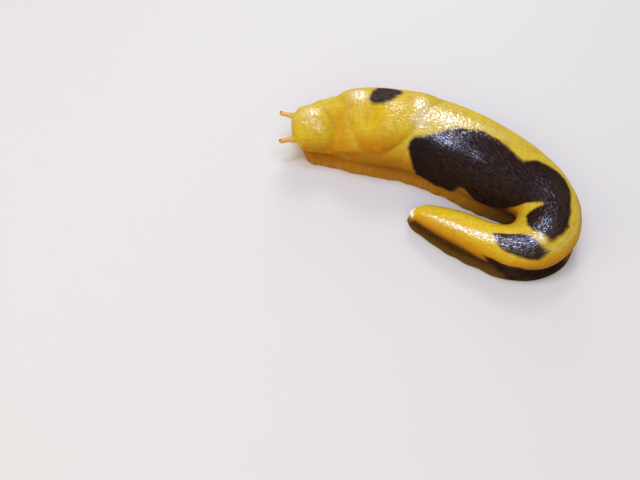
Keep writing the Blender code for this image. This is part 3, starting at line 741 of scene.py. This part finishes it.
def skin_material(colours):
    """Living slug skin under a film of clear mucus.

    It gives the eye a soft, slightly see-through yellow that turns orange low on the flanks, partly its own
    tone and partly painted shade, painted shade in folds, grooves and where the flank meets the foot, a pale
    painted sheen where the mucus lies thick, dark blotches whose edges fray along the wrinkles, and a wet
    gloss that the wrinkles break up into small bluish glints.
    """
    made, tree = new_material("wet_slug_skin")

    def add(kind, inputs=None, output=0, **settings):
        return add_node(tree, kind, inputs, output, **settings)

    run = add("UVMap", uv_map="skin_run")
    place = add("TexCoord", output="Object")
    along = add("Math", {0: add("SeparateXYZ", {0: run}), 1: PATTERN_RUN}, operation="MULTIPLY")
    mask = {name: add("Attribute", output="Fac", attribute_name=name) for name in (*SNOUT_MASKS, "feeler")}
    share = mask["share"]
    smooth = {"interpolation_type": "SMOOTHSTEP"}

    pattern = {}
    for name, runs_along, size, stretch, *noise in SKIN_NOISE + SKIN_CELLS:
        unit = PATTERN_RUN if runs_along else 1 / MM
        scale = tuple(unit / (size * part) for part in stretch)
        where = add("Mapping", {"Vector": run if runs_along else place, "Scale": scale})
        inputs = {"Vector": where, "Scale": 1.0}
        if noise:
            pattern[name] = add("TexNoise", {**inputs, "Detail": noise[0], "Roughness": noise[1]})
        else:
            inputs["Smoothness"] = CELL_SMOOTHNESS
            pattern[name] = add("TexVoronoi", inputs, "Distance", feature="SMOOTH_F1")

    def lay_on(colour, layers):
        """Lay colours on in turn: what each reads, from where to where it fades in, strength and colour."""
        for read, low, high, strength, over in layers:
            way = "LINEAR" if (low, high) == FULL else "SMOOTHSTEP"
            cover = add("MapRange", {0: read, 1: low, 2: high, 4: strength}, interpolation_type=way)
            colour = add("Mix", {0: cover, 6: colour, 7: over}, 2, data_type="RGBA")
        return colour

    # How far down the flank a point lies, which sets the painted shade low on the flanks, and how strong each
    # change of colour is along the body
    tailward = add("MapRange", {0: along, 1: 108.0, 2: 126.0}, **smooth)
    side = add("Math", {0: share}, operation="ABSOLUTE")
    side = add("Math", {0: tailward, 1: 0.18, 2: side}, operation="MULTIPLY_ADD")
    right_lift = add("MapRange", {0: tailward, 3: -0.19, 4: 0.0})
    right_lift = add("MapRange", {0: share, 1: 0.0, 2: -0.3, 4: right_lift}, **smooth)
    low_side = add("Math", {0: right_lift, 1: side}, operation="ADD")
    saddle = add("MapRange", {0: along, 1: 21.0, 2: 15.5}, **smooth)
    saddle = add("MapRange", {0: along, 1: 8.0, 2: 12.5, 4: saddle}, **smooth)
    off_bulb = add("MapRange", {0: mask["bulb"], 3: 0.95, 4: 0.60})
    # Strength of the painted shade where the flank meets the foot: none on the head, weaker on the front of
    # the body
    under = add("MapRange", {0: along, 1: 64.0, 2: 82.0, 3: 0.35, 4: 1.0}, **smooth)
    under = add("MapRange", {0: along, 1: 16.0, 2: 30.0, 4: under}, **smooth)
    # Strength of the pale painted sheen: none on the feelers
    painted_sheen_strength = add("MapRange", {0: mask["feeler"], 3: 0.30, 4: 0.0})
    flank = colours.flank
    # The mantle turns orange and darker down its sides: painted shade
    mantle_skin = lay_on(colours.mantle, [(side, 0.24, 0.52, 0.95, flank)])
    fringe = [
        (along, 45.0, 95.0, 1.0, colours.foot_rear),
        (pattern["foot_lines"], 0.62, 0.36, 0.40, colours.foot_dark),
    ]
    body = lay_on(
        colours.back,
        [
            (along, 100.0, 118.0, 1.0, colours.tail),
            (share, -0.20, 0.08, saddle, colours.neck),
            (mask["bulb"], *FULL, 1.0, colours.head),
            # Down the flank the yellow turns orange: partly the flank's own tone, partly painted shade, less
            # on the head's bulb
            (side, 0.34, 0.74, off_bulb, flank),
            (mask["mantle"], *FULL, 1.0, mantle_skin),
            (pattern["dimples"], 0.30, 0.75, 0.22, flank),
            (pattern["mottling"], 0.50, 0.75, 0.16, colours.mottle),
            (pattern["clouds"], 0.52, 0.75, 0.30, flank),
            (pattern["long_lines"], 0.50, 0.72, 0.30, flank),
            # Painted shade low where the flank meets the foot
            (low_side, 0.64, 0.88, under, colours.underside_shade),
            # Painted shade in the grooves between wrinkles and bumps
            (mask["groove"], *FULL, 0.28, flank),
            # Painted shade in the folds, the mantle's crease, round the head's bulb, in the pore and the
            # mouth
            (mask["cavity"], *FULL, 0.50, colours.neck_shade),
            (mask["feeler"], *FULL, 1.0, colours.feeler),
            (mask["foot"], *FULL, 1.0, lay_on(colours.foot, fringe)),
            # Painted sheen: a pale cast laid over the yellow where the mucus lies thick
            (mask["wet"], 0.25, 1.0, painted_sheen_strength, colours.painted_sheen),
        ],
    )

    # Dark blotches: how deep a point lies in one, with its edge frayed along the wrinkles
    streaks = add("Math", {0: pattern["streaks"], 1: 1.6, 2: -0.8}, operation="MULTIPLY_ADD")
    fray = add("Math", {0: pattern["broad"], 1: 2.2, 2: -1.1}, operation="MULTIPLY_ADD")
    fray = add("Math", {0: streaks, 1: fray}, operation="ADD")
    depth = add("Math", {0: mask["blotch"], 1: fray}, operation="ADD")
    dark = add("MapRange", {0: depth, 1: -0.9, 2: 0.7}, **smooth)
    front = add("MapRange", {0: share, 1: 0.10, 2: 0.30, 4: 0.90}, **smooth)
    ink = [
        (pattern["ridges"], 0.30, 0.70, 0.50, colours.blotch_light),
        (depth, 1.3, -0.5, 0.80, colours.blotch_edge),
        # Painted shade deepens the grooves inside a blotch
        (mask["groove"], *FULL, 0.40, colours.blotch),
        (along, 54.0, 42.0, front, colours.blotch),
    ]
    colour = lay_on(body, [(dark, *FULL, 1.0, lay_on(colours.blotch, ink))])

    # Fine grain and the foot's upright lines in the skin, and a film of mucus that lies in small domes
    grain = add("Math", {0: pattern["grain"], 1: 0.5}, operation="MULTIPLY")
    grain = add("Math", {0: pattern["fine_lines"], 1: 0.5, 2: grain}, operation="MULTIPLY_ADD")
    on_foot = add("Math", {0: mask["foot"], 1: 1.6}, operation="MULTIPLY")
    grain = add("Math", {0: pattern["foot_lines"], 1: on_foot, 2: grain}, operation="MULTIPLY_ADD")
    film = [(dark, *FULL, 1.0, pattern["dark_film"]), (mask["feeler"], *FULL, 1.0, EVEN_FILM)]
    film = lay_on(pattern["yellow_film"], film)
    bump = {"Distance": SKIN_GRAIN_DEPTH * MM}
    surface = {
        "Base Color": colour,
        "Roughness": add("MapRange", {0: mask["wet"], 3: 0.55, 4: 0.35}),
        "IOR": 1.4,
        "Specular IOR Level": add("MapRange", {0: dark, 3: 0.06, 4: 0.03}),
        "Subsurface Weight": 0.35,
        "Subsurface Radius": (1.0, 0.5, 0.12),
        "Subsurface Scale": SEE_THROUGH_DEPTH * MM,
        "Coat Weight": mask["wet"],
        "Coat Roughness": add("MapRange", {0: dark, 3: 0.16, 4: 0.04}),
        "Coat IOR": 2.0,
        "Normal": add("Bump", {**bump, "Strength": 0.55, "Height": grain}),
        "Coat Normal": add("Bump", {**bump, "Strength": 1.0, "Height": film}, invert=True),
    }
    add("OutputMaterial", {0: add("BsdfPrincipled", surface)})
    return made


def eye_material(colours):
    """A slug's eye: a black bead under clear skin, so it shines sharply."""
    made, tree, cloud = clouded_material("black_eye_bead", 1.5, 1.0)
    cloud = add_node(tree, "MapRange", {0: cloud, 1: 0.35, 2: 0.7}, interpolation_type="SMOOTHSTEP")
    inputs = {0: cloud, 6: colours.eye, 7: colours.eye_cloud}
    surface = {
        "Base Color": add_node(tree, "Mix", inputs, 2, data_type="RGBA"),
        "Roughness": 0.18,
        "IOR": 1.42,
        "Coat Weight": 1.0,
        "Coat Roughness": 0.03,
    }
    add_node(tree, "OutputMaterial", {0: add_node(tree, "BsdfPrincipled", surface)})
    return made


def slime_material(colours):
    """Mucus half dried to a whitish plug: cloudy and see-through, dull where dry, glossy where wet."""
    made, tree, cloud = clouded_material("half_dried_mucus", 1.4, 3.0)
    pale = add_node(tree, "MapRange", {0: cloud, 1: 0.3, 2: 0.65}, interpolation_type="SMOOTHSTEP")
    inputs = {0: pale, 6: colours.slime_dry, 7: colours.slime}
    surface = {
        "Base Color": add_node(tree, "Mix", inputs, 2, data_type="RGBA"),
        "Roughness": add_node(tree, "MapRange", {0: cloud, 1: 0.35, 2: 0.7, 3: 0.15, 4: 0.5}),
        "IOR": 1.37,
        "Subsurface Weight": 0.6,
        "Subsurface Radius": (1.0, 0.8, 0.6),
        "Subsurface Scale": 1.0 * MM,
        "Coat Weight": 0.4,
        "Coat Roughness": 0.1,
        "Normal": add_node(tree, "Bump", {"Strength": 0.6, "Distance": 0.2 * MM, "Height": cloud}),
    }
    add_node(tree, "OutputMaterial", {0: add_node(tree, "BsdfPrincipled", surface)})
    return made


def floor_material(colour):
    """Matt painted board: a plain pale floor with a faint tooth."""
    made, tree, tooth = clouded_material("matt_painted_board", 0.9, 2.0)
    bump = add_node(tree, "Bump", {"Strength": 0.15, "Distance": 0.2 * MM, "Height": tooth})
    surface = {"Base Color": colour, "Roughness": 0.8, "Normal": bump}
    add_node(tree, "OutputMaterial", {0: add_node(tree, "BsdfPrincipled", surface)})
    return made


def colour(name, description, code):
    """A colour that a user can change."""
    return bpy.props.FloatVectorProperty(
        name=name, description=description, default=linear(code), subtype="COLOR", size=4, min=0.0, max=1.0
    )


def length(name, description, default):
    """A length in millimetres that a user can change."""
    return bpy.props.FloatProperty(name=name, description=description, default=default, min=0.0)


class SlugShape(bpy.types.PropertyGroup):
    wrinkle_length: length("Wrinkle length", "Length of one skin wrinkle in mm", 3.0)
    wrinkle_spacing: length("Wrinkle spacing", "Distance from one wrinkle to the next in mm", 0.82)
    wrinkle_depth: length("Wrinkle depth", "Depth of the skin wrinkles in mm", 0.12)
    eye_radius: length("Eye radius", "Radius of the bead at the tip of a feeler in mm", 0.42)


class SlugColours(bpy.types.PropertyGroup):
    head: colour("Head", "Olive yellow of the swollen head", "#CDB12A")
    neck: colour("Neck", "Orange brown of the neck", "#C0920A")
    # Painted shade inside folds and hollows
    neck_shade: colour("Folds", "Brown orange inside the folds", "#84500C")
    mantle: colour("Mantle", "Bright yellow of the mantle", "#C9AC1E")
    back: colour("Back", "Yellow of the back", "#CBB634")
    tail: colour("Tail", "Warm yellow of the tail", "#D4B41E")
    # Orange low on the flanks: partly the flank's own tone, partly painted shade
    flank: colour("Flank", "Orange low on the flanks", "#B27206")
    # Painted shade low where the flank meets the foot
    underside_shade: colour("Underside", "Brown orange where the flank meets the foot", "#442202")
    feeler: colour("Feelers", "See-through orange of the feelers", "#D2A242")
    mottle: colour("Mottling", "Paler flecks in the yellow", "#E2CC50")
    # Painted sheen: a pale cast that stands in for reflected light where the mucus lies thick
    painted_sheen: colour("Bloom", "Pale cast of thick mucus on the yellow", "#F0E8C4")
    foot: colour("Foot", "Olive of the foot's fringe", "#A8701A")
    foot_dark: colour("Foot lines", "Dark olive lines of the fringe", "#704A12")
    foot_rear: colour("Rear of the foot", "Dark olive of the fringe along the tail", "#5C460E")
    blotch: colour("Blotches", "Brown black of the blotches", "#1A0F0A")
    blotch_light: colour("Blotch ridges", "Brown on the ridges inside a blotch", "#40281C")
    blotch_edge: colour("Blotch edge", "Brown where a blotch thins out", "#4E2C10")
    slime: colour("Slime plug", "Whitish mucus at the tip of the tail", "#F2E8CF")
    slime_dry: colour("Dry slime", "Buff where the plug has dried", "#C9B48C")
    eye: colour("Eyes", "Black of the eye beads", "#050505")
    eye_cloud: colour("Eye clouds", "Brown black of faint clouds in the eyes", "#1A120C")
    floor: colour("Floor", "Pale floor of the stage", "#D1CDC2")


def wrap_skin(shape):
    """A flat grid, wrapped round the body row by row and closed along the sole and at both ends."""
    rows, shares, points = skin_layout()
    count = points.shape[1]
    steps = np.linalg.norm(np.diff(points, axis=1), axis=2)
    arc = np.concatenate([np.zeros((len(rows), 1)), np.cumsum(steps, axis=1)], axis=1)
    arc = arc - arc[:, count // 2 : count // 2 + 1]
    along = np.repeat(rows[:, None], count, axis=1)
    share = np.repeat(shares[None, :], len(rows), axis=0)
    edge = SOLE_COLUMNS + SKIRT_COLUMNS
    column = np.minimum(np.arange(count), count - 1 - np.arange(count))
    foot = smoothstep(edge + 0.5, SOLE_COLUMNS + 3.0, column)[None, :]
    foot = foot * smoothstep(FOOT_START - 0.5, FOOT_START + 1.5, along)
    foot = np.maximum(foot, (column < edge)[None, :] * smoothstep(BODY_END - 2.5, BODY_END - 0.5, along))
    height, line, masks = relief(shape, along, share, arc, foot)
    normal = outward_normals(points)
    normal[0] = normal[-1] = 0.0
    squeeze = np.linalg.norm(np.gradient(points, axis=0), axis=2)
    usual = np.gradient(rows)[:, None]
    height = height * np.clip(squeeze / usual * 1.6, 0.25, 1.0)
    points = points + normal * height[:, :, None]
    points[:, :, 2] = np.maximum(points[:, :, 2], 0.0)
    points[:, :, :2] -= np.array(PLAN_MIDDLE)

    bpy.ops.object.select_all(action="DESELECT")
    bpy.ops.mesh.primitive_grid_add(x_subdivisions=len(rows) - 1, y_subdivisions=count - 1, size=2.0)
    skin = bpy.context.active_object
    mesh = skin.data
    skin.name = mesh.name = "slug_skin"
    flat = read_points(mesh)
    row = np.rint((flat[:, 0] + 1) / 2 * (len(rows) - 1)).astype(int)
    col = np.rint((flat[:, 1] + 1) / 2 * (count - 1)).astype(int)
    write_points(mesh, points[row, col] * MM)
    for name, values in {**masks, "foot": foot, "known": foot * 0 + 1}.items():
        write_mask(mesh, name, values[row, col])
    layer = mesh.uv_layers[0]
    layer.name = "skin_run"
    corner = read_all(mesh.loops, "vertex_index", 1, np.int32)
    right = col[corner].reshape(-1, 4).max(axis=1) < count // 2
    run = line[row, col][corner] % 50 + 50.0 * np.repeat(right, 4)
    uv = np.stack([along[row, col][corner], run + 30.0], axis=1) / PATTERN_RUN
    layer.data.foreach_set("uv", uv.astype(np.float32).ravel())

    only(skin)
    bpy.ops.object.mode_set(mode="EDIT")
    bpy.ops.mesh.select_all(action="SELECT")
    bpy.ops.mesh.remove_doubles(threshold=MERGE_REACH)
    bpy.ops.mesh.dissolve_degenerate(threshold=SLIVER)
    bpy.ops.object.mode_set(mode="OBJECT")
    face_outwards(skin)
    return skin


def head_pieces():
    """Feelers and lips as closed forms that reach into the head."""
    made = []
    along, out, up = LIP_CENTRE
    for word, side in SIDES:
        for name, root, aim, profile, rings_apart, ring_height, _ in FEELERS:
            outline = feeler_outline(profile, rings_apart, ring_height)
            made.append(round_form(name + word, placement(*feeler_frame(root, aim, side)), outline))
        outline = ball_outline(LIP_RADII, lumps=0.05)
        made.append(round_form("lip_" + word, seat(along, out * side, up), outline))
    for piece in made:
        head_patch(piece.data)
    return made


def paint_head(skin):
    """Mark the feelers and the inside of the mouth by their place."""
    mesh = skin.data
    points = read_points(mesh)
    feeler = np.zeros(len(points))
    for _, root, aim, *_, reach in FEELERS:
        for _, side in SIDES:
            point, axes = feeler_frame(root, aim, side)
            local = (points - np.array(point)) @ np.array(axes).T / MM
            near = np.hypot(local[:, 0], local[:, 1]) < reach
            feeler = np.maximum(feeler, near * smoothstep(0.2, 1.5, local[:, 2]))
    write_mask(mesh, "feeler", feeler)
    write_mask(mesh, "wet", np.maximum(read_mask(mesh, "wet"), FEELER_WET * feeler))
    write_mask(mesh, "blotch", np.where(feeler > 0, NO_BLOTCH, read_mask(mesh, "blotch")))
    # The inside of the mouth is marked for painted shade
    middle = np.array(spot(*MOUTH_CENTRE))
    local = (points - middle) @ local_frame(MOUTH_CENTRE[0]).T / MM / (np.array(MOUTH_SLIT) / 2)
    inside = smoothstep(1.35, 1.0, np.linalg.norm(local, axis=1))
    write_mask(mesh, "cavity", np.maximum(read_mask(mesh, "cavity"), inside))


def head_patch(mesh):
    """Lay a small piece's UV map on the head's part of the skin's own."""
    layer = mesh.uv_layers[0]
    layer.name = "skin_run"
    uv = read_all(layer.data, "uv", 2).ravel()
    layer.data.foreach_set("uv", uv * 0.03 + 5.0 / PATTERN_RUN)


def boolean(target, tool, operation):
    """Join a closed form on, or cut it out, and put the form away."""
    step = target.modifiers.new(tool.name, "BOOLEAN")
    step.operation = operation
    step.solver = "EXACT"
    step.object = tool
    apply_all(target)
    bpy.data.objects.remove(tool, do_unlink=True)


def mark_joined(skin):
    """Give the pieces joined to the head the masks of the snout."""
    mesh = skin.data
    # They lie ahead of the snout, or are marked as foot where the foot hasn't begun
    back = (read_points(mesh) - np.array(spot(0.0, 0.0, 0.0))) @ local_frame(0.0)[0] / MM
    joined = (back < -0.2) | ((back < FOOT_START) & (read_mask(mesh, "foot") > 0.3))
    for name, value in SNOUT_MASKS.items():
        write_mask(mesh, name, np.where(joined, value, read_mask(mesh, name)))


def soften_joins(skin):
    """Fill in the masks along the joins, and ease the joins into soft folds."""
    mesh = skin.data
    a, b = read_all(mesh.edges, "vertices", 2, np.int32).T
    known = read_mask(mesh, "known")
    new = known < 0.999
    near = new.copy()
    for _ in range(4):
        grown = near.copy()
        grown[a[near[b]]] = True
        grown[b[near[a]]] = True
        near = grown
    count = np.bincount(a, minlength=len(known)) + np.bincount(b, minlength=len(known))

    def average(values):
        total = np.bincount(a, values[b], len(known)) + np.bincount(b, values[a], len(known))
        return total / np.maximum(count, 1)

    points = read_points(mesh)
    for _ in range(6):
        moved = np.stack([average(points[:, k]) for k in range(3)], axis=1)
        points[near] += 0.5 * (moved - points)[near]
    write_points(mesh, points)
    for name in SNOUT_MASKS:
        values = read_mask(mesh, name).astype(float)
        weight = np.where(new, 0.0, 1.0)
        for _ in range(40):
            total, parts = average(values * weight), average(weight)
            fill = new & (parts > 0)
            values[fill] = total[fill] / parts[fill]
            weight[fill] = 1.0
        write_mask(mesh, name, values)
    mesh.attributes.remove(mesh.attributes["known"])


class SLUG_OT_skin(bpy.types.Operator):
    """Build the one wet skin that covers all of the slug's flesh."""

    bl_idname = "slug.skin"
    bl_label = "Skin"

    def execute(self, context):
        skin = wrap_skin(context.scene.slug_shape)
        for piece in head_pieces():
            boolean(skin, piece, "UNION")
        slit = round_form("mouth", seat(*MOUTH_CENTRE), ball_outline(np.array(MOUTH_SLIT) / 2))
        head_patch(slit.data)
        boolean(skin, slit, "DIFFERENCE")
        mark_joined(skin)
        soften_joins(skin)
        paint_head(skin)
        only(skin)
        bpy.ops.object.shade_smooth()
        skin.data.materials.clear()
        skin.data.materials.append(skin_material(context.scene.slug_colours))
        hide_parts(*FLESH)
        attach(skin, "root")
        return {"FINISHED"}


class SLUG_OT_eyes(bpy.types.Operator):
    """Set a black bead in the tip of each upper feeler."""

    bl_idname = "slug.eyes"
    bl_label = "Eyes"

    def execute(self, context):
        surface = eye_material(context.scene.slug_colours)
        radius = context.scene.slug_shape.eye_radius
        along, lift = EYE_PLACE
        for word, side in SIDES:
            point, axes = feeler_frame(FEELER_ROOT, FEELER_AIM, side)
            centre = point + (axes[2] * along + Vector((0.0, 0.0, lift))) * MM
            outline = ball_outline((radius, radius, radius * 1.05), dent=0.1)
            eye = round_form("eye_bead_" + word, placement(centre, axes), outline, 20, 16)
            eye.data.materials.append(surface)
            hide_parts("eye_" + word)
            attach(eye, "root")
        return {"FINISHED"}


class SLUG_OT_slime_plug(bpy.types.Operator):
    """Set the whitish plug of mucus over the pore at the tip of the tail."""

    bl_idname = "slug.slime_plug"
    bl_label = "Slime plug"

    def execute(self, context):
        outline = ball_outline(SLIME_RADII, lumps=0.16, wrap=SLIME_WRAP)
        plug = round_form("mucus_plug", seat(BODY_END, 0.0, SLIME_HEIGHT), outline, 32, 24)
        plug.data.materials.append(slime_material(context.scene.slug_colours))
        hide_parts("slime_plug")
        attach(plug, "root")
        return {"FINISHED"}


CAMERA_PLACE = (-32.43, -135.93, 170.83)  # in mm
CAMERA_TILT = 34.31  # degrees up from straight down
LENS = 38.0
SENSOR = 36.0
FLOOR_SIZE = 3.0  # in metres
FLOOR_THICKNESS = 0.02
# Soft lights: name, degrees round from the back and up, distance, size, power in watts and colour
LIGHTS = (
    ("sky_tail", -88.0, 63.0, 0.55, 0.10, 0.42, "#DCE2FF"),
    ("sky_left", -30.0, 80.0, 0.55, 0.11, 0.42, "#9CB4FF"),
    ("sky_right", 60.0, 75.0, 0.55, 0.11, 0.36, "#9CB4FF"),
    ("sky_front", 150.0, 74.0, 0.55, 0.11, 0.30, "#A9BEFF"),
    ("overhead_softbox", -75.0, 80.0, 0.60, 0.26, 0.80, "#D8E0FF"),
    ("back_softbox", 12.0, 42.0, 0.60, 0.18, 0.85, "#F4F5FF"),
    ("back_low", 5.0, 18.0, 0.60, 0.22, 0.80, "#F4F5FF"),
    ("front_softbox", 190.0, 38.0, 0.60, 0.50, 1.2, "#FFF2DC"),
    ("head_softbox", -100.0, 34.0, 0.60, 0.40, 0.8, "#FFF4E2"),
)
AIR_STRENGTH = 0.40
AIR_COLOUR = "#FFF9EC"


class SLUG_OT_stage(bpy.types.Operator):
    """Lay a pale floor and set soft studio lights and the camera."""

    bl_idname = "slug.stage"
    bl_label = "Stage"

    def execute(self, context):
        bpy.ops.object.select_all(action="DESELECT")
        bpy.ops.mesh.primitive_plane_add(size=FLOOR_SIZE, location=(0, 0, 0))
        floor = context.active_object
        floor.name = "pale_floor"
        bpy.ops.object.mode_set(mode="EDIT")
        bpy.ops.mesh.select_all(action="SELECT")
        bpy.ops.mesh.extrude_region_move(TRANSFORM_OT_translate={"value": (0, 0, -FLOOR_THICKNESS)})
        bpy.ops.object.mode_set(mode="OBJECT")
        face_outwards(floor)
        top = max(corner[2] for corner in floor.bound_box)
        floor.data.transform(Matrix.Translation((0, 0, -top)))
        floor.data.materials.append(floor_material(context.scene.slug_colours.floor))

        for name, round_it, up, distance, size, power, colour in LIGHTS:
            turn, lift = math.radians(round_it), math.radians(up)
            level = math.cos(lift)
            place = Vector((math.sin(turn) * level, math.cos(turn) * level, math.sin(lift))) * distance
            bpy.ops.object.light_add(type="AREA", location=place)
            light = context.active_object
            light.name = name
            light.data.shape = "DISK"
            light.data.size = size
            light.data.energy = power
            light.data.color = linear(colour)[:3]
            light.rotation_euler = (-place).to_track_quat("-Z", "Y").to_euler()

        world = bpy.data.worlds.new("studio_air")
        world.use_nodes = True
        air = world.node_tree.nodes["Background"]
        air.inputs[0].default_value = linear(AIR_COLOUR)
        air.inputs[1].default_value = AIR_STRENGTH
        context.scene.world = world
        context.scene.view_settings.view_transform = "Standard"

        tilt = (math.radians(CAMERA_TILT), 0, 0)
        bpy.ops.object.camera_add(location=Vector(CAMERA_PLACE) * MM, rotation=tilt)
        camera = context.active_object
        camera.name = "main_camera"
        camera.data.lens = LENS
        camera.data.sensor_width = SENSOR
        camera.data.clip_start = 0.005
        context.scene.camera = camera
        return {"FINISHED"}


class SLUG_PT_sidebar(bpy.types.Panel):
    """The slug's pieces, sizes and colours."""

    bl_label = "Banana slug"
    bl_idname = "SLUG_PT_sidebar"
    bl_space_type = "VIEW_3D"
    bl_region_type = "UI"
    bl_category = "Slug"

    def draw(self, context):
        for operator in OPERATORS:
            self.layout.operator(operator.bl_idname)
        for group in (context.scene.slug_shape, context.scene.slug_colours):
            for name in group.__annotations__:
                self.layout.prop(group, name)


OPERATORS = (SLUG_OT_skin, SLUG_OT_eyes, SLUG_OT_slime_plug, SLUG_OT_stage)
CLASSES = (SlugShape, SlugColours, *OPERATORS, SLUG_PT_sidebar)


def register():
    for made in CLASSES:
        bpy.utils.register_class(made)
    bpy.types.Scene.slug_shape = bpy.props.PointerProperty(type=SlugShape)
    bpy.types.Scene.slug_colours = bpy.props.PointerProperty(type=SlugColours)


def unregister():
    del bpy.types.Scene.slug_colours
    del bpy.types.Scene.slug_shape
    for made in reversed(CLASSES):
        bpy.utils.unregister_class(made)


def main():
    register()
    bpy.ops.slug.skin()
    bpy.ops.slug.eyes()
    bpy.ops.slug.slime_plug()
    bpy.ops.slug.stage()


if __name__ == "__main__":
    main()
